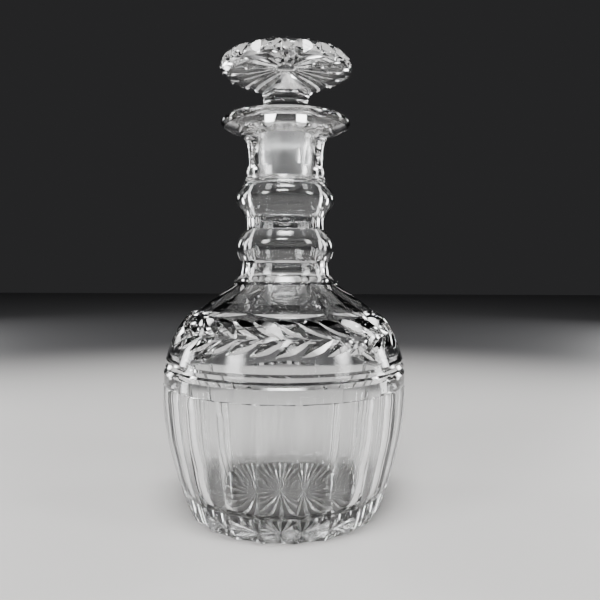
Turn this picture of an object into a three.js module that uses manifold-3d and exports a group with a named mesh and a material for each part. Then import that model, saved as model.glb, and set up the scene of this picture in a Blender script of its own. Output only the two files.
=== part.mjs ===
// A barrel-shaped wine decanter in clear cut crystal, with its mushroom stopper.
// Millimetres, Z up. The origin is the centre of the base, on the table.
import * as THREE from "three";
import { ConvexGeometry } from "three/addons/geometries/ConvexGeometry.js";
import { mergeVertices } from "three/addons/utils/BufferGeometryUtils.js";
import Module from "manifold-3d";

// ---- Driving dimensions -------------------------------------------------

const baseRadius = 49.6;
const footHeight = 3.4; // top of the small bevel round the base
const footRadius = 52.2;
const bellyRadius = 65.0;
const bellyHeight = 64.5; // the widest level
const fluteTop = 69.4;
const neckFoot = 123.4; // top of the shoulder panels, where the neck starts
const neckFootRadius = 27.2;
const rimRadius = 34.3; // the flared lip
const rimTop = 209.2;

const floorHeight = 13.4; // glass under the middle of the cavity
const waistRadius = 17.8; // inside of the neck between its two rings

const fluteCount = 21;
const fluteTurn = 1.5; // degrees from +X to a ridge between two flutes
const fluteHollow = 1.15; // how far a flute is hollowed below the chord between its two ridges
const panelCount = 8; // on the shoulder and on the neck
const panelTurn = 3; // degrees from +X to the middle of a panel
const leafCount = 32; // in each of the two rows
const leafTurn = 4.2;
const baseRays = 24;

// A pair of V-grooves round the body.
const grooveMiddle = 79.6; // the ridge between the two
const grooveWidth = 3.4;
const grooveDepth = 1.15;

// The ground joint. The stopper's peg sits in it with a small gap all round.
const socketBottom = 177.0;
const socketTop = 202.8;
const socketBottomRadius = 9.5;
const socketTopRadius = 10.8;
const gap = 0.3;
const pegBottom = 176.4;

const headRadius = 34.9;
const headMiddle = 236.9; // level of the head's widest ring
const headTop = 248.4;
const shankRadius = 11.6; // over the corners of the six-sided shank
const shankTop = 223.4;
const headRays = 20; // star on the head's crown and rim
const headTurn = -3.7; // degrees from +X to a ray

// ---- Shapes -------------------------------------------------------------

const wasm = await Module();
wasm.setup();

/** A manifold-3d solid of a closed three.js geometry. */
function solid(geometry) {
  const bare = geometry.clone();
  bare.deleteAttribute("normal");
  bare.deleteAttribute("uv");
  const welded = mergeVertices(bare, 1e-4);
  return new wasm.Manifold(
    new wasm.Mesh({
      numProp: 3,
      vertProperties: Float32Array.from(welded.attributes.position.array),
      triVerts: Uint32Array.from(welded.index.array),
    }),
  );
}

/** A named mesh of a solid, with its own material. */
function meshOf(name, made, material) {
  const result = made.getMesh();
  const geometry = new THREE.BufferGeometry();
  geometry.setAttribute("position", new THREE.BufferAttribute(result.vertProperties, 3));
  geometry.setIndex(new THREE.BufferAttribute(result.triVerts, 1));
  geometry.computeVertexNormals();
  const mesh = new THREE.Mesh(geometry, material);
  mesh.name = name;
  return mesh;
}

/** Points of a smooth line through [radius, height] stations. */
function smooth(stations, steps) {
  return new THREE.SplineCurve(stations.map(([r, z]) => new THREE.Vector2(r, z))).getPoints(steps);
}

/** Points of straight lines through [radius, height] stations. */
function straight(...stations) {
  return stations.map(([r, z]) => new THREE.Vector2(r, z));
}

/** An outline turned round the Z axis, with a corner of its cross-section on the -Y side. */
function turned(outline, sides) {
  return new THREE.LatheGeometry(outline, sides).rotateX(Math.PI / 2);
}

/** Copies of a cutter evenly round the Z axis as one solid, the first at `first` degrees. */
function ring(cutter, count, first = 0) {
  const copies = [];
  for (let i = 0; i < count; i += 1) {
    copies.push(cutter.rotate([0, 0, first + (i * 360) / count]));
  }
  return wasm.Manifold.union(copies);
}

/** A cutter with one cross-section in radius and height, extruded along the tangent at angle 0. */
function tangentCutter(section, width) {
  const extruded = new THREE.ExtrudeGeometry(new THREE.Shape(section), {
    depth: width,
    bevelEnabled: false,
  });
  extruded.translate(0, 0, -width / 2);
  extruded.rotateX(Math.PI / 2);
  return solid(extruded);
}

// ---- Bottle: outside ----------------------------------------------------

/** Radius of the barrel below its widest level. */
function barrelRadius(z) {
  const share = (bellyHeight - z) / (bellyHeight - footHeight);
  return bellyRadius - (bellyRadius - footRadius) * share ** 1.7;
}

const barrelRows = 6;
const barrel = [];
for (let i = 0; i <= barrelRows; i += 1) {
  const z = footHeight + ((bellyHeight - footHeight) * i) / barrelRows;
  barrel.push(new THREE.Vector2(barrelRadius(z), z));
}

const bandRadius = 64.4; // the plain band above the flutes
const ridgeRadius = 63.9;
const shoulderFoot = 63.3;
const bodyOutline = [
  ...straight([0, 0], [baseRadius, 0]),
  ...barrel,
  ...straight(
    [bellyRadius - 0.1, fluteTop],
    [bandRadius, fluteTop + 0.4],
    [bandRadius, grooveMiddle - grooveWidth],
    [ridgeRadius - grooveDepth, grooveMiddle - grooveWidth / 2],
    [ridgeRadius, grooveMiddle],
    [ridgeRadius - grooveDepth, grooveMiddle + grooveWidth / 2],
  ),
  ...smooth(
    [
      [shoulderFoot, grooveMiddle + grooveWidth],
      [60.0, 92.6],
      [54.9, 102.0],
      [49.4, 107.6],
      [40.4, 114.9],
      [neckFootRadius + 2.4, neckFoot],
    ],
    8,
  ),
  ...straight([0, neckFoot]),
];

/** Hollows vertical flutes into the turned body, with a ridge on each corner column. */
function flute(geometry) {
  const position = geometry.attributes.position;
  const pitch = (2 * Math.PI) / fluteCount;
  for (let i = 0; i < position.count; i += 1) {
    const x = position.getX(i);
    const y = position.getY(i);
    const z = position.getZ(i);
    const radius = Math.hypot(x, y);
    if (z > fluteTop - 0.1 || radius < baseRadius - 1) continue;
    const across = Math.atan2(y, x) / pitch - 0.5;
    const fromMiddle = 2 * Math.abs(across - Math.round(across));
    const flat = Math.cos(pitch / 2) / Math.cos((pitch / 2) * fromMiddle);
    const hollow = fluteHollow * (1 - fromMiddle ** 2);
    const fade = z < footHeight / 2 ? 0.75 : 1;
    const scale = flat - (fade * hollow) / radius;
    position.setXY(i, x * scale, y * scale);
  }
  return geometry;
}

const columnsPerFlute = 4;
const body = solid(flute(turned(bodyOutline, fluteCount * columnsPerFlute))).rotate([0, 0, fluteTurn]);

const neckFacet = 20.4; // uncut radius of the upper neck
const neckOutline = [
  ...straight([0, neckFoot - 3], [neckFootRadius - 0.6, neckFoot - 3]),
  ...smooth([[neckFootRadius, neckFoot], [24.7, 127.0], [23.7, 131.2]], 3),
  ...straight([23.6, 134.0]),
  ...smooth([[24.1, 134.3], [25.5, 137.8], [25.95, 141.2], [25.4, 144.6], [23.7, 147.9], [21.8, 150.4]], 7),
  ...straight([21.2, 150.6], [21.2, 157.3]),
  ...smooth([[21.9, 157.5], [23.6, 161.0], [25.6, 164.3], [26.3, 167.4], [25.1, 171.0], [22.7, 174.6]], 7),
  ...smooth([[21.3, 178.0], [20.6, 182.4]], 1),
  ...straight([neckFacet, 182.6]),
  ...smooth([[neckFacet, 190.0], [21.4, 196.6], [24.6, 201.6], [32.6, 204.8]], 6),
  ...smooth([[rimRadius, 206.6], [rimRadius - 0.1, 208.0], [rimRadius - 1.2, rimTop]], 2),
  ...straight([0, rimTop]),
];
const neck = solid(turned(neckOutline, 32));

// ---- Bottle: inside -----------------------------------------------------

const cavityOutline = [
  ...straight([0, floorHeight]),
  ...smooth([[34.0, 12.9], [44.8, 12.6], [49.4, 15.0], [52.2, 22.6]], 4),
  ...smooth([[53.8, 31.0], [56.7, 44.0], [58.9, 64.0]], 3),
  ...smooth([[57.0, 84.0], [51.4, 98.0], [42.0, 106.0], [30.0, 113.2], [21.6, 120.6], [19.0, 126.7]], 7),
  ...smooth([[18.2, 133.0], [19.6, 137.4], [20.4, 141.4], [19.6, 145.6], [18.1, 149.8]], 5),
  ...straight([waistRadius, 151.0], [waistRadius, 157.0]),
  ...smooth([[18.4, 158.6], [20.4, 166.0], [20.0, 170.4], [17.8, 174.4]], 4),
  ...straight(
    [14.0, 176.6],
    [socketBottomRadius + 0.6, socketBottom],
    [socketBottomRadius, socketBottom + 0.4],
    [socketTopRadius, socketTop],
  ),
  ...smooth([[13.2, 204.0], [21.0, 206.2], [rimRadius - 3.0, rimTop]], 3),
  ...straight([rimRadius - 3.0, rimTop + 1], [0, rimTop + 1]),
];
const cavity = solid(turned(cavityOutline, 32));

// ---- Bottle: cuts -------------------------------------------------------

// Wide hollow panels down the shoulder, each ending in a small step above the plain band.
const shoulderPanel = tangentCutter(
  [
    ...straight([50.0, 107.0], [45.2, 108.6]),
    ...smooth([[40.2, 112.6], [32.6, 117.6], [neckFootRadius, neckFoot - 1.6]], 5),
    ...straight([neckFootRadius, neckFoot + 1], [60.0, neckFoot + 1], [60.0, 107.0]),
  ],
  60,
);

/** A shallow flat panel on the neck between two levels. */
function neckPanel(apothem, bottom, top) {
  return tangentCutter(straight([apothem, bottom], [apothem, top], [30, top], [30, bottom]), 24);
}

// The panels of the upper neck curve outwards and run out under the lip.
const upperPanel = tangentCutter(
  [
    ...straight([19.3, 183.6], [19.4, 190.0]),
    ...smooth([[20.5, 196.4], [24.1, 201.6], [32.0, 204.9]], 3),
    ...straight([38.0, 204.9], [38.0, 183.6]),
  ],
  26,
);

const panels = wasm.Manifold.union([
  ring(shoulderPanel, panelCount, panelTurn),
  ring(neckPanel(22.9, 131.0, 134.4), panelCount, panelTurn),
  ring(neckPanel(20.3, 150.8, 157.0), panelCount, panelTurn),
  ring(upperPanel, panelCount, panelTurn),
]);

/**
 * A V-shaped cut with pointed ends, lying along X with its mouth towards +Z.
 * The keel is deepest in the middle. The surface it cuts curves away by `fall` at the two ends.
 */
function leafCutter(length, width, depth, fall) {
  const half = length / 2;
  const rise = 1.6; // the cutter stands this far out of the glass
  const slope = width / 2 / depth;
  const points = [];
  for (const share of [-1, 0, 1]) {
    const keel = -fall * share ** 2 - depth * (1 - share ** 2);
    const side = (rise - keel) * slope * (1 - 0.55 * share ** 2);
    points.push(new THREE.Vector3(half * share, 0, keel));
    points.push(new THREE.Vector3(half * share, side, rise));
    points.push(new THREE.Vector3(half * share, -side, rise));
  }
  return solid(new ConvexGeometry(points));
}

const leafLength = 19.0;
const leafWidth = 7.2;
const leafDepth = 1.6;
const leafFall = 1.0;
const leaf = leafCutter(leafLength, leafWidth, leafDepth, leafFall);

/** One leaf placed on the shoulder, its length turned by `heading` degrees from the line of slope. */
function leafAt(radius, z, lean, heading) {
  return leaf
    .rotate([0, 0, heading])
    .rotate([0, 90 - lean, 0])
    .translate([radius, 0, z]);
}

const leaves = wasm.Manifold.union([
  ring(leafAt(54.8, 102.0, 42, 56), leafCount, leafTurn),
  ring(leafAt(59.4, 94.7, 24, 117), leafCount, leafTurn),
]);

// A star under the base, of separate rays that widen and deepen outwards to a blunt end.
const baseStarRadius = 46.6;
const baseStarDepth = 2.4;
const baseRay = solid(
  new ConvexGeometry([
    new THREE.Vector3(1, 0, 0.2),
    new THREE.Vector3(baseStarRadius - 2.6, 0, baseStarDepth),
    new THREE.Vector3(baseStarRadius, 0, 0),
    new THREE.Vector3(1, 0.8, -1),
    new THREE.Vector3(1, -0.8, -1),
    new THREE.Vector3(baseStarRadius - 2.6, 3.8, -1),
    new THREE.Vector3(baseStarRadius - 2.6, -3.8, -1),
    new THREE.Vector3(baseStarRadius, 2.0, -1),
    new THREE.Vector3(baseStarRadius, -2.0, -1),
  ]),
);
const baseStar = ring(baseRay, baseRays);

const bottle = body.add(neck).subtract(cavity).subtract(panels).subtract(leaves).subtract(baseStar);

// ---- Stopper ------------------------------------------------------------

const pegTop = socketTop - 0.1;
/** Radius of the ground peg at a level: the socket's taper less the gap. */
function pegRadius(z) {
  const share = (z - socketBottom) / (socketTop - socketBottom);
  return socketBottomRadius + (socketTopRadius - socketBottomRadius) * share - gap;
}
const peg = solid(
  turned(
    straight(
      [0, pegBottom],
      [pegRadius(pegBottom) - 0.6, pegBottom],
      [pegRadius(pegBottom + 0.6), pegBottom + 0.6],
      [pegRadius(pegTop), pegTop],
      [shankRadius - 1.6, pegTop + 0.6],
      [0, pegTop + 0.6],
    ),
    40,
  ),
);

const shank = solid(
  turned(
    [
      ...straight([0, pegTop - 1]),
      ...smooth(
        [[9.8, pegTop - 1], [11.3, 206.0], [shankRadius, 216.0], [12.9, shankTop], [17.6, 228.0]],
        9,
      ),
      ...straight([0, 228.0]),
    ],
    6,
  ),
).rotate([0, 0, 30]);

const headOutline = [
  ...straight([0, shankTop - 0.6]),
  ...smooth([[11.8, shankTop - 0.6], [19.5, 226.8], [27.4, 230.2], [31.6, 231.9]], 5),
  ...smooth([[33.7, 233.6], [34.6, 235.2], [headRadius, headMiddle], [34.4, 238.6], [33.2, 240.4]], 6),
  ...smooth([[31.0, 241.9], [22.0, 246.2], [10.0, 248.0]], 4),
  ...straight([0, headTop]),
];
const head = solid(turned(headOutline, 60));

// Star on the crown: V-cuts that grow wider outwards and meet in ridges.
const crownRay = solid(
  new ConvexGeometry([
    new THREE.Vector3(4, 0, headTop - 1.2),
    new THREE.Vector3(33.9, 0, 240.1),
    new THREE.Vector3(4, 1.8, headTop + 1),
    new THREE.Vector3(4, -1.8, headTop + 1),
    new THREE.Vector3(22, 7.2, 248.0),
    new THREE.Vector3(22, -7.2, 248.0),
    new THREE.Vector3(35, 9.0, 243.0),
    new THREE.Vector3(35, -9.0, 243.0),
  ]),
);

// Each ray runs on down the rim in a flatter V, which ends in a point at the rim's lower edge.
const rimRay = solid(
  new ConvexGeometry([
    new THREE.Vector3(32.0, 0, 242.3),
    new THREE.Vector3(34.25, 0, 233.0),
    new THREE.Vector3(36.9, 17.5, 243.5),
    new THREE.Vector3(36.9, -17.5, 243.5),
    new THREE.Vector3(39.1, 17.5, 234.2),
    new THREE.Vector3(39.1, -17.5, 234.2),
  ]),
);
const crownStar = ring(crownRay.add(rimRay), headRays, headTurn);

const stopper = peg.add(shank).add(head).subtract(crownStar);

// ---- The part -----------------------------------------------------------

const crystal = new THREE.MeshStandardMaterial({
  color: 0xe4ecec,
  roughness: 0.03,
  metalness: 0,
  transparent: true,
  opacity: 0.35,
});
const bottleMesh = meshOf("bottle", bottle, crystal.clone());

// The stopper's own origin is the middle of its peg's lower end.
const stopperMesh = meshOf("stopper", stopper.translate([0, 0, -pegBottom]), crystal.clone());
stopperMesh.position.z = pegBottom;

const group = new THREE.Group();
group.name = "wine_decanter";
group.add(bottleMesh, stopperMesh);

export default group;
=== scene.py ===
"""Wine decanter in cut crystal: fine glass surfaces, a pale floor, studio light and the camera.

The drawing below is in millimetres, Z up, with the origin at the centre of the base. One millimetre
of the drawing is taken from the height of the frame's bottle, so the pieces lie where the frame's
solids lie.
"""

import math

import bmesh
import bpy
import numpy as np
from mathutils import Matrix, Vector


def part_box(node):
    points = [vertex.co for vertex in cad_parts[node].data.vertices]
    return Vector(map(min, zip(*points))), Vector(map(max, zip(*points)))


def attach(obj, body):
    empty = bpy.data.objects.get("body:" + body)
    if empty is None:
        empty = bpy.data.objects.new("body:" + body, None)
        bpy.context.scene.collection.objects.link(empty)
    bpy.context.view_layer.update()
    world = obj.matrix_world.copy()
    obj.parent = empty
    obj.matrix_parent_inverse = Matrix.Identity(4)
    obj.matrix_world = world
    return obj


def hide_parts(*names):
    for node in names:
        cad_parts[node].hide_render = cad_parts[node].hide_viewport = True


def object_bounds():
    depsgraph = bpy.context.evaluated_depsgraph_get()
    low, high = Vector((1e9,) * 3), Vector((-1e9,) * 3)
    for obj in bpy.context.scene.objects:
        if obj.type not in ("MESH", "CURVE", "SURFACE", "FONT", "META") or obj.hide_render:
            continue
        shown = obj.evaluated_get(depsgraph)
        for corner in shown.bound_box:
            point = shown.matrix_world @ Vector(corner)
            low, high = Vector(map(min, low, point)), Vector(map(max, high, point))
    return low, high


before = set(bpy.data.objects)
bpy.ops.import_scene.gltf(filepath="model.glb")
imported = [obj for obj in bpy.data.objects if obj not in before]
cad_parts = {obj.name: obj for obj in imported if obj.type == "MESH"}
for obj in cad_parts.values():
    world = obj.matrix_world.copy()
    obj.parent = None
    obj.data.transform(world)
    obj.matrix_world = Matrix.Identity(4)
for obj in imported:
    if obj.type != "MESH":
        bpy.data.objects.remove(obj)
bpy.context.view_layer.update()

# ---- Driving dimensions -----------------------------------------------------

BASE_RADIUS = 49.6
FOOT_HEIGHT = 3.4  # top of the small bevel round the base
FOOT_RADIUS = 52.2
BELLY_RADIUS = 65.0
BELLY_HEIGHT = 64.5
FLUTE_TOP = 69.4
NECK_FOOT = 123.4
NECK_FOOT_RADIUS = 27.2
RIM_RADIUS = 34.3
RIM_TOP = 209.2

FLOOR_HEIGHT = 13.4  # glass under the middle of the cavity
WAIST_RADIUS = 17.8  # inside of the neck between its two rings

FLUTES = 21
FLUTE_TURN = 1.5  # degrees from +X to a ridge between two flutes
FLUTE_HOLLOW = 1.15  # how far a flute is hollowed below the chord between its two ridges
PANELS = 8  # on the shoulder and on the neck
PANEL_TURN = 3.0
LEAVES = 32  # in each of the two rows
LEAF_TURN = 4.2
LEAF_LENGTH = 19.0
LEAF_WIDTH = 7.2
LEAF_DEPTH = 1.6
LEAF_FALL = 1.0  # how far the shoulder curves away under the ends of a leaf
STAR_RAYS = 24  # under the base
STAR_RADIUS = 46.6
STAR_DEPTH = 2.4

GROOVE_MIDDLE = 79.6
GROOVE_WIDTH = 3.4
GROOVE_DEPTH = 1.15

SOCKET_BOTTOM = 177.0
SOCKET_TOP = 202.8
SOCKET_BOTTOM_RADIUS = 9.5
SOCKET_TOP_RADIUS = 10.8
GAP = 0.3
PEG_BOTTOM = 176.4

HEAD_RADIUS = 34.9
HEAD_MIDDLE = 236.9
HEAD_TOP = 248.4
SHANK_RADIUS = 11.6  # over the corners of the six-sided shank
SHANK_TOP = 223.4
HEAD_RAYS = 20  # star on the head's crown and rim
HEAD_TURN = -3.7

bottle_low, bottle_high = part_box("bottle")
MM = (bottle_high.z - bottle_low.z) / RIM_TOP  # metres in one millimetre of the drawing

COLUMNS = FLUTES * 12

# ---- Building solids --------------------------------------------------------


def smooth(stations, steps):
    """Points of a smooth line through (radius, height) stations, both ends included."""
    points = np.array(stations, float)
    padded = np.vstack([points[:1], points, points[-1:]])
    made = []
    for place in np.linspace(0, len(points) - 1, steps + 1):
        i = min(int(place), len(points) - 2)
        t = place - i
        before, start, end, after = padded[i : i + 4]
        leave = (end - before) / 2
        arrive = (after - start) / 2
        cubic = 2 * start - 2 * end + leave + arrive
        square = 3 * end - 3 * start - 2 * leave - arrive
        made.append(tuple(cubic * t**3 + square * t**2 + leave * t + start))
    return made


def link(name, mesh):
    made = bpy.data.objects.new(name, mesh)
    bpy.context.scene.collection.objects.link(made)
    return made


def turned(name, outline, columns, hollow=None):
    """A closed solid of an outline turned round Z. The outline starts and ends on the axis.

    hollow gives how strongly each row is fluted, from 0 to 1.
    """
    rows = np.array(outline[1:-1], float)
    angles = (np.arange(columns) / columns) * 2 * math.pi - math.pi / 2
    radius = np.repeat(rows[:, :1], columns, axis=1)
    height = np.repeat(rows[:, 1:], columns, axis=1)
    if hollow is not None:
        strength = np.array(hollow)[1:-1, None]
        radius = radius * flute_scale(radius, angles, strength)
        angles = angles + math.radians(FLUTE_TURN)
    ring_points = np.stack([radius * np.cos(angles), radius * np.sin(angles), height], axis=2)
    points = np.vstack([ring_points.reshape(-1, 3), [(0, 0, outline[0][1]), (0, 0, outline[-1][1])]])
    first_pole = len(points) - 2
    last_pole = len(points) - 1
    last_row = (len(rows) - 1) * columns
    faces = []
    for j in range(columns):
        k = (j + 1) % columns
        faces.append((first_pole, k, j))
        faces.append((last_pole, last_row + j, last_row + k))
        for i in range(len(rows) - 1):
            low = i * columns
            high = low + columns
            faces.append((low + j, low + k, high + k, high + j))
    mesh = bpy.data.meshes.new(name)
    mesh.from_pydata((points * MM).tolist(), [], faces)
    return link(name, mesh)


def flute_scale(radius, angles, hollow):
    """Factor on the radius that hollows a flute between two ridges."""
    pitch = 2 * math.pi / FLUTES
    across = angles / pitch - 0.5
    from_middle = 2 * np.abs(across - np.round(across))
    flat = np.cos(pitch / 2) / np.cos(pitch / 2 * from_middle)
    fluted = flat - hollow * FLUTE_HOLLOW * (1 - from_middle**2) / radius
    return np.where(hollow > 0, fluted, 1.0)


def hull(points):
    """A convex solid round points, as a mesh object."""
    shape = bmesh.new()
    for point in points:
        shape.verts.new(Vector(point) * MM)
    made = bmesh.ops.convex_hull(shape, input=shape.verts)
    bmesh.ops.delete(shape, geom=made["geom_interior"], context="VERTS")
    mesh = bpy.data.meshes.new("hull")
    shape.to_mesh(mesh)
    shape.free()
    return link("hull", mesh)


def extruded(section, width):
    """A cutter with one cross-section in (radius, height), extruded along the tangent at angle 0."""
    count = len(section)
    points = [(r * MM, side * width / 2 * MM, z * MM) for side in (-1, 1) for r, z in section]
    faces = [tuple(range(count)), tuple(reversed(range(count, 2 * count)))]
    for i in range(count):
        j = (i + 1) % count
        faces.append((j, i, count + i, count + j))
    mesh = bpy.data.meshes.new("cutter")
    mesh.from_pydata(points, [], faces)
    fix = bmesh.new()
    fix.from_mesh(mesh)
    bmesh.ops.recalc_face_normals(fix, faces=fix.faces)
    fix.to_mesh(mesh)
    fix.free()
    return link("cutter", mesh)


def ring(cutter, count, first=0.0):
    """Copies of a cutter evenly round Z, the first at `first` degrees."""
    copies = []
    for i in range(count):
        turn = Matrix.Rotation(math.radians(first + i * 360 / count), 4, "Z")
        mesh = cutter.data.copy()
        mesh.transform(turn @ cutter.matrix_world)
        copies.append(link("cutter", mesh))
    bpy.data.objects.remove(cutter)
    return copies


def combine(piece, others, operation):
    """Unites the others with a piece, or takes them out of it, and removes them."""
    tools = bpy.data.collections.new("tools")
    bpy.context.scene.collection.children.link(tools)
    for other in others:
        tools.objects.link(other)
    modifier = piece.modifiers.new("combine", "BOOLEAN")
    modifier.operand_type = "COLLECTION"
    modifier.collection = tools
    modifier.solver = "MANIFOLD"
    modifier.operation = operation
    depsgraph = bpy.context.evaluated_depsgraph_get()
    mesh = bpy.data.meshes.new_from_object(piece.evaluated_get(depsgraph))
    piece.modifiers.clear()
    old = piece.data
    piece.data = mesh
    bpy.data.meshes.remove(old)
    for other in others:
        bpy.data.objects.remove(other)
    bpy.data.collections.remove(tools)
    mesh.materials.clear()
    return piece


def polish(piece, limit):
    """Smooth shading, with an edge kept crisp where its faces meet at more than `limit` degrees."""
    shape = bmesh.new()
    shape.from_mesh(piece.data)
    bmesh.ops.remove_doubles(shape, verts=shape.verts, dist=0.004 * MM)
    for face in shape.faces:
        face.smooth = True
    for edge in shape.edges:
        edge.smooth = edge.calc_face_angle(0.0) < math.radians(limit)
    shape.to_mesh(piece.data)
    shape.free()


# ---- Bottle -----------------------------------------------------------------


def barrel_radius(z):
    """Radius of the barrel below its widest level."""
    share = (BELLY_HEIGHT - z) / (BELLY_HEIGHT - FOOT_HEIGHT)
    return BELLY_RADIUS - (BELLY_RADIUS - FOOT_RADIUS) * share**1.7


BAND_RADIUS = 64.4
RIDGE_RADIUS = 63.9
BARREL_ROWS = 24
fluted = [(BASE_RADIUS, 0.0)]
for z in np.linspace(FOOT_HEIGHT, BELLY_HEIGHT, BARREL_ROWS + 1):
    fluted.append((barrel_radius(z), z))
fluted.append((BELLY_RADIUS - 0.1, FLUTE_TOP - 0.2))

outside = [
    (BAND_RADIUS, FLUTE_TOP + 0.4),
    (BAND_RADIUS, GROOVE_MIDDLE - GROOVE_WIDTH),
    (RIDGE_RADIUS - GROOVE_DEPTH, GROOVE_MIDDLE - GROOVE_WIDTH / 2),
    (RIDGE_RADIUS, GROOVE_MIDDLE),
    (RIDGE_RADIUS - GROOVE_DEPTH, GROOVE_MIDDLE + GROOVE_WIDTH / 2),
    *smooth(
        [
            (63.3, GROOVE_MIDDLE + GROOVE_WIDTH),
            (60.0, 92.6),
            (54.9, 102.0),
            (49.4, 107.6),
            (40.4, 114.9),
            (NECK_FOOT_RADIUS + 2.4, NECK_FOOT),
        ],
        30,
    ),
    *smooth([(NECK_FOOT_RADIUS, NECK_FOOT + 0.05), (24.7, 127.0), (23.7, 131.2)], 10),
    (23.6, 134.0),
    *smooth(
        [(24.1, 134.3), (25.5, 137.8), (25.95, 141.2), (25.4, 144.6), (23.7, 147.9), (21.8, 150.4)],
        30,
    ),
    (21.2, 150.6),
    (21.2, 157.3),
    *smooth(
        [
            (21.9, 157.5),
            (23.6, 161.0),
            (25.6, 164.3),
            (26.3, 167.4),
            (25.1, 171.0),
            (22.7, 174.6),
            (21.3, 178.0),
            (20.6, 182.4),
        ],
        42,
    ),
    (20.4, 182.6),
    *smooth([(20.4, 190.0), (21.4, 196.6), (24.6, 201.6), (32.6, 204.8)], 24),
    *smooth([(RIM_RADIUS, 206.6), (RIM_RADIUS - 0.1, 208.0), (RIM_RADIUS - 1.2, RIM_TOP)], 6),
]
inside = [
    *smooth([(16.0, FLOOR_HEIGHT - 0.1), (34.0, 12.9), (44.8, 12.6), (49.4, 15.0), (52.2, 22.6)], 26),
    *smooth([(53.8, 31.0), (56.7, 44.0), (58.9, 64.0)], 10),
    *smooth([(57.0, 84.0), (51.4, 98.0), (42.0, 106.0), (30.0, 113.2), (21.6, 120.6), (19.0, 126.7)], 30),
    *smooth([(18.2, 133.0), (19.6, 137.4), (20.4, 141.4), (19.6, 145.6), (18.1, 149.8)], 20),
    (WAIST_RADIUS, 151.0),
    (WAIST_RADIUS, 157.0),
    *smooth(
        [(18.4, 158.6), (20.4, 166.0), (20.0, 170.4), (17.8, 174.4), (14.0, 176.6), (10.1, SOCKET_BOTTOM)],
        30,
    ),
    (SOCKET_BOTTOM_RADIUS, SOCKET_BOTTOM + 0.4),
    (SOCKET_TOP_RADIUS, SOCKET_TOP),
    *smooth([(13.2, 204.0), (21.0, 206.2), (RIM_RADIUS - 3.0, RIM_TOP)], 12),
]
outline = [(0.0, 0.0), *fluted, *outside, *reversed(inside), (0.0, FLOOR_HEIGHT)]
hollow = [0.0, 0.75, *[1.0] * (len(fluted) - 1)]
hollow += [0.0] * (len(outline) - len(hollow))
bottle = turned("glass_bottle", outline, COLUMNS, hollow)

# Wide hollow panels down the shoulder, each ending in a small step above the leaves.
shoulder_panel = extruded(
    [
        (50.0, 107.0),
        (45.2, 108.6),
        *smooth([(40.2, 112.6), (32.6, 117.6), (NECK_FOOT_RADIUS, NECK_FOOT - 1.6)], 12),
        (NECK_FOOT_RADIUS, NECK_FOOT + 1),
        (60.0, NECK_FOOT + 1),
        (60.0, 107.0),
    ],
    60,
)
# The panels of the upper neck curve outwards and run out under the lip.
upper_panel = extruded(
    [
        (19.3, 183.6),
        (19.4, 190.0),
        *smooth([(20.5, 196.4), (24.1, 201.6), (32.0, 204.9)], 10),
        (38.0, 204.9),
        (38.0, 183.6),
    ],
    26,
)


def neck_panel(apothem, bottom, top):
    """A shallow flat panel on the neck between two levels."""
    return extruded([(apothem, bottom), (apothem, top), (30.0, top), (30.0, bottom)], 24)


def leaf_at(radius, z, lean, heading):
    """A V-shaped cut with pointed ends, its length turned by heading degrees from the line of slope."""
    rise = 1.6  # the cutter stands this far out of the glass
    slope = LEAF_WIDTH / 2 / LEAF_DEPTH
    points = []
    for share in np.linspace(-1, 1, 9):
        keel = -LEAF_FALL * share**2 - LEAF_DEPTH * (1 - share**2)
        side = (rise - keel) * slope * (1 - 0.55 * share**2)
        along = LEAF_LENGTH / 2 * share
        points += [(along, 0, keel), (along, side, rise), (along, -side, rise)]
    made = hull(points)
    place = Matrix.Translation(Vector((radius, 0, z)) * MM)
    lean_over = Matrix.Rotation(math.radians(90 - lean), 4, "Y")
    made.data.transform(place @ lean_over @ Matrix.Rotation(math.radians(heading), 4, "Z"))
    return made


# A ray of the star under the base. It widens and deepens outwards to a blunt end.
base_ray = hull(
    [
        (1, 0, 0.2),
        (STAR_RADIUS - 2.6, 0, STAR_DEPTH),
        (STAR_RADIUS, 0, 0),
        (1, 0.8, -1),
        (1, -0.8, -1),
        (STAR_RADIUS - 2.6, 3.8, -1),
        (STAR_RADIUS - 2.6, -3.8, -1),
        (STAR_RADIUS, 2.0, -1),
        (STAR_RADIUS, -2.0, -1),
    ]
)

cuts = [
    *ring(shoulder_panel, PANELS, PANEL_TURN),
    *ring(neck_panel(22.9, 131.0, 134.4), PANELS, PANEL_TURN),
    *ring(neck_panel(20.3, 150.8, 157.0), PANELS, PANEL_TURN),
    *ring(upper_panel, PANELS, PANEL_TURN),
    *ring(leaf_at(54.8, 102.0, 42, 56), LEAVES, LEAF_TURN),
    *ring(leaf_at(59.4, 94.7, 24, 117), LEAVES, LEAF_TURN),
    *ring(base_ray, STAR_RAYS),
]
combine(bottle, cuts, "DIFFERENCE")
polish(bottle, 17)

# ---- Stopper ----------------------------------------------------------------

PEG_TOP = SOCKET_TOP - 0.1


def peg_radius(z):
    """Radius of the ground peg: the socket's taper less the gap."""
    share = (z - SOCKET_BOTTOM) / (SOCKET_TOP - SOCKET_BOTTOM)
    return SOCKET_BOTTOM_RADIUS + (SOCKET_TOP_RADIUS - SOCKET_BOTTOM_RADIUS) * share - GAP


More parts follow.
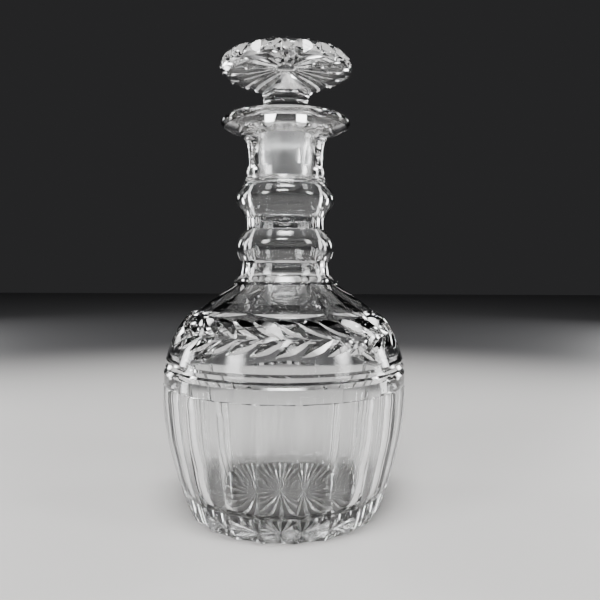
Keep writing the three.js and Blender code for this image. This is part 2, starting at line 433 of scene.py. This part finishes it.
stopper = turned(
    "glass_stopper",
    [
        (0, PEG_BOTTOM),
        (peg_radius(PEG_BOTTOM) - 0.6, PEG_BOTTOM),
        (peg_radius(PEG_BOTTOM + 0.6), PEG_BOTTOM + 0.6),
        (peg_radius(PEG_TOP), PEG_TOP),
        (SHANK_RADIUS - 1.6, PEG_TOP + 0.6),
        (0, PEG_TOP + 0.6),
    ],
    120,
)
shank = turned(
    "shank",
    [
        (0, PEG_TOP - 1),
        *smooth(
            [(9.8, PEG_TOP - 1), (11.3, 206.0), (SHANK_RADIUS, 216.0), (12.9, SHANK_TOP), (17.6, 228.0)],
            24,
        ),
        (0, 228.0),
    ],
    6,
)
shank.data.transform(Matrix.Rotation(math.radians(30), 4, "Z"))
head_outline = [
    (0, SHANK_TOP - 0.6),
    *smooth([(11.8, SHANK_TOP - 0.6), (19.5, 226.8), (27.4, 230.2), (31.6, 231.9)], 12),
    *smooth([(33.7, 233.6), (34.6, 235.2), (HEAD_RADIUS, HEAD_MIDDLE), (34.4, 238.6), (33.2, 240.4)], 18),
    *smooth([(31.0, 241.9), (22.0, 246.2), (10.0, 248.0)], 14),
    (0, HEAD_TOP),
]
head = turned("head", head_outline, 240)
# A ray of the star on the crown: a V-cut that grows wider outwards and meets its neighbours in ridges.
crown_ray = hull(
    [
        (4, 0, HEAD_TOP - 1.2),
        (33.9, 0, 240.1),
        (4, 1.8, HEAD_TOP + 1),
        (4, -1.8, HEAD_TOP + 1),
        (22, 7.2, 248.0),
        (22, -7.2, 248.0),
        (35, 9.0, 243.0),
        (35, -9.0, 243.0),
    ]
)
# The ray runs on down the rim in a flatter V, which ends in a point at the rim's lower edge.
rim_ray = hull(
    [
        (32.0, 0, 242.3),
        (34.25, 0, 233.0),
        (36.9, 17.5, 243.5),
        (36.9, -17.5, 243.5),
        (39.1, 17.5, 234.2),
        (39.1, -17.5, 234.2),
    ]
)
combine(stopper, [shank, head], "UNION")
head_cuts = [*ring(crown_ray, HEAD_RAYS, HEAD_TURN), *ring(rim_ray, HEAD_RAYS, HEAD_TURN)]
combine(stopper, head_cuts, "DIFFERENCE")
polish(stopper, 14)

# ---- Materials --------------------------------------------------------------


def glass(name, colour, rough_low, rough_high, grain, bump):
    """Crystal whose polish varies finely over the surface."""
    made = bpy.data.materials.new(name)
    made.use_nodes = True
    nodes = made.node_tree.nodes
    links = made.node_tree.links
    shader = nodes["Principled BSDF"]
    shader.inputs["Base Color"].default_value = (*colour, 1)
    shader.inputs["IOR"].default_value = 1.545
    shader.inputs["Transmission Weight"].default_value = 1.0
    place = nodes.new("ShaderNodeTexCoord")
    noise = nodes.new("ShaderNodeTexNoise")
    noise.inputs["Scale"].default_value = grain
    noise.inputs["Detail"].default_value = 4.0
    rough = nodes.new("ShaderNodeMapRange")
    rough.inputs["From Min"].default_value = 0.35
    rough.inputs["From Max"].default_value = 0.75
    rough.inputs["To Min"].default_value = rough_low
    rough.inputs["To Max"].default_value = rough_high
    height = nodes.new("ShaderNodeBump")
    height.inputs["Strength"].default_value = bump
    height.inputs["Distance"].default_value = 0.0002
    links.new(place.outputs["Object"], noise.inputs["Vector"])
    links.new(noise.outputs["Fac"], rough.inputs["Value"])
    links.new(rough.outputs["Result"], shader.inputs["Roughness"])
    links.new(noise.outputs["Fac"], height.inputs["Height"])
    worn = nodes.new("ShaderNodeBevel")
    worn.samples = 4
    worn.inputs["Radius"].default_value = 0.3 * MM
    links.new(worn.outputs["Normal"], height.inputs["Normal"])
    links.new(height.outputs["Normal"], shader.inputs["Normal"])
    return made


polished = glass("polished_crystal", (0.985, 0.99, 0.99), 0.0, 0.03, 60, 0.03)
ground = glass("ground_crystal", (0.97, 0.975, 0.98), 0.22, 0.42, 2500, 0.2)
satin = glass("satin_crystal", (0.98, 0.985, 0.985), 0.12, 0.26, 900, 0.1)


def finish_faces(piece, finish_of):
    """Polished crystal all over, and another finish on the faces where finish_of gives its number."""
    for material in (polished, ground, satin):
        piece.data.materials.append(material)
    for face in piece.data.polygons:
        middle = face.center / MM
        radius = math.hypot(middle.x, middle.y)
        face.material_index = finish_of(radius, middle.z, face.normal.z)


def bottle_finish(radius, z, up):
    """The socket is ground, and the star under the base is left satin from its cutting wheel."""
    if SOCKET_BOTTOM < z < SOCKET_TOP and radius < SOCKET_TOP_RADIUS + 0.2:
        return 1
    if z < STAR_DEPTH and radius < STAR_RADIUS and up > -0.99:
        return 2
    return 0


def stopper_finish(radius, z, up):
    """The sides of the peg are ground."""
    if z < PEG_TOP and abs(up) < 0.5:
        return 1
    return 0


finish_faces(bottle, bottle_finish)
finish_faces(stopper, stopper_finish)

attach(bottle, "bottle")
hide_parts("bottle")
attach(stopper, "stopper")
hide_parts("stopper")

# ---- Floor, light and camera ------------------------------------------------

low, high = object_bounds()
HEIGHT = high.z - low.z

REACH = 12 * HEIGHT
corners = [(-REACH, -REACH, low.z), (REACH, -REACH, low.z), (REACH, REACH, low.z), (-REACH, REACH, low.z)]
floor_mesh = bpy.data.meshes.new("floor")
floor_mesh.from_pydata(corners, [], [(0, 1, 2, 3)])
floor = link("floor", floor_mesh)
floor_material = bpy.data.materials.new("floor")
floor_material.use_nodes = True
floor_nodes = floor_material.node_tree.nodes
floor_links = floor_material.node_tree.links
floor_shader = floor_nodes["Principled BSDF"]
floor_shader.inputs["Roughness"].default_value = 0.55
# The floor's colour holds painted light and shade: pale near the object, a painted pool of light, then
# painted shade darkening it smoothly to near-black farther out.
floor_place = floor_nodes.new("ShaderNodeTexCoord")
floor_painted_shade_reach = floor_nodes.new("ShaderNodeVectorMath")
floor_painted_shade_reach.operation = "LENGTH"
floor_painted_falloff = floor_nodes.new("ShaderNodeMapRange")
floor_painted_falloff.interpolation_type = "SMOOTHERSTEP"
floor_painted_falloff.inputs["From Min"].default_value = 1.1 * HEIGHT
floor_painted_falloff.inputs["From Max"].default_value = 3.4 * HEIGHT
floor_colour_and_painted_shade = floor_nodes.new("ShaderNodeMix")
floor_colour_and_painted_shade.data_type = "RGBA"
floor_colour_and_painted_shade.inputs["A"].default_value = (0.42, 0.412, 0.405, 1)
# Colour B is the painted shade of the far floor.
floor_colour_and_painted_shade.inputs["B"].default_value = (0.045, 0.045, 0.047, 1)
floor_links.new(floor_place.outputs["Object"], floor_painted_shade_reach.inputs[0])
floor_links.new(floor_painted_shade_reach.outputs["Value"], floor_painted_falloff.inputs["Value"])
floor_links.new(floor_painted_falloff.outputs["Result"], floor_colour_and_painted_shade.inputs["Factor"])
floor_links.new(floor_colour_and_painted_shade.outputs["Result"], floor_shader.inputs["Base Color"])
floor_mesh.materials.append(floor_material)

world = bpy.data.worlds.new("studio")
world.use_nodes = True
world.node_tree.nodes["Background"].inputs["Color"].default_value = (0.024, 0.024, 0.025, 1)
bpy.context.scene.world = world
bpy.context.scene.cycles.max_bounces = 32
bpy.context.scene.cycles.transmission_bounces = 32


def soft_box(name, azimuth, elevation, distance, width, tall, power):
    """An area light aimed at the middle of the object, not seen directly by the camera."""
    lamp = bpy.data.lights.new(name, "AREA")
    lamp.shape = "RECTANGLE"
    lamp.size = width * HEIGHT
    lamp.size_y = tall * HEIGHT
    lamp.energy = power
    lamp.use_nodes = True
    nodes = lamp.node_tree.nodes
    links = lamp.node_tree.links
    place = nodes.new("ShaderNodeNewGeometry")
    split = nodes.new("ShaderNodeSeparateXYZ")
    links.new(place.outputs["Parametric"], split.inputs[0])
    edge = []
    for axis in ("X", "Y"):
        hump = nodes.new("ShaderNodeMath")
        hump.operation = "PINGPONG"
        hump.inputs[1].default_value = 0.5
        rise = nodes.new("ShaderNodeMapRange")
        rise.interpolation_type = "SMOOTHSTEP"
        rise.inputs["From Max"].default_value = 0.4
        links.new(split.outputs[axis], hump.inputs[0])
        links.new(hump.outputs[0], rise.inputs["Value"])
        edge.append(rise.outputs["Result"])
    both = nodes.new("ShaderNodeMath")
    both.operation = "MULTIPLY"
    links.new(edge[0], both.inputs[0])
    links.new(edge[1], both.inputs[1])
    links.new(both.outputs[0], nodes["Emission"].inputs["Strength"])
    made = bpy.data.objects.new(name, lamp)
    bpy.context.scene.collection.objects.link(made)
    a, e = math.radians(azimuth), math.radians(elevation)
    away = Vector((math.sin(a) * math.cos(e), -math.cos(a) * math.cos(e), math.sin(e)))
    made.location = (low + high) / 2 + away * distance * HEIGHT
    made.rotation_euler = away.to_track_quat("Z", "Y").to_euler()
    made.visible_camera = False
    return made


soft_box("left_strip", -108, 12, 5, 1.1, 5, 30)
soft_box("right_strip", 108, 12, 5, 1.1, 5, 30)
soft_box("left_back", -140, 10, 6, 1.2, 1.8, 10)
soft_box("right_back", 140, 10, 6, 1.2, 1.8, 10)
soft_box("left_window", -50, 28, 7, 2.6, 3.4, 55)
soft_box("right_window", 60, 28, 7, 2.2, 3.4, 45)
soft_box("top_box", 0, 72, 5, 3.0, 2.2, 75)
soft_box("front_box", -8, 46, 7, 3.4, 1.6, 60)

CAMERA_DISTANCE = 1.353  # all in heights of the object
CAMERA_HEIGHT = 0.522
CAMERA_PITCH = 2.8  # degrees down
CAMERA_YAW = 1.39
CAMERA_ROLL = 0.3
camera_data = bpy.data.cameras.new("camera")
camera_data.sensor_width = 36.0
camera_data.lens = 37.2
camera = bpy.data.objects.new("camera", camera_data)
bpy.context.scene.collection.objects.link(camera)
camera.location = (0, -CAMERA_DISTANCE * HEIGHT, low.z + CAMERA_HEIGHT * HEIGHT)
camera.matrix_world = (
    Matrix.Translation(camera.location)
    @ Matrix.Rotation(math.radians(-CAMERA_YAW), 4, "Z")
    @ Matrix.Rotation(math.radians(90 - CAMERA_PITCH), 4, "X")
    @ Matrix.Rotation(math.radians(CAMERA_ROLL), 4, "Z")
)
bpy.context.scene.camera = camera
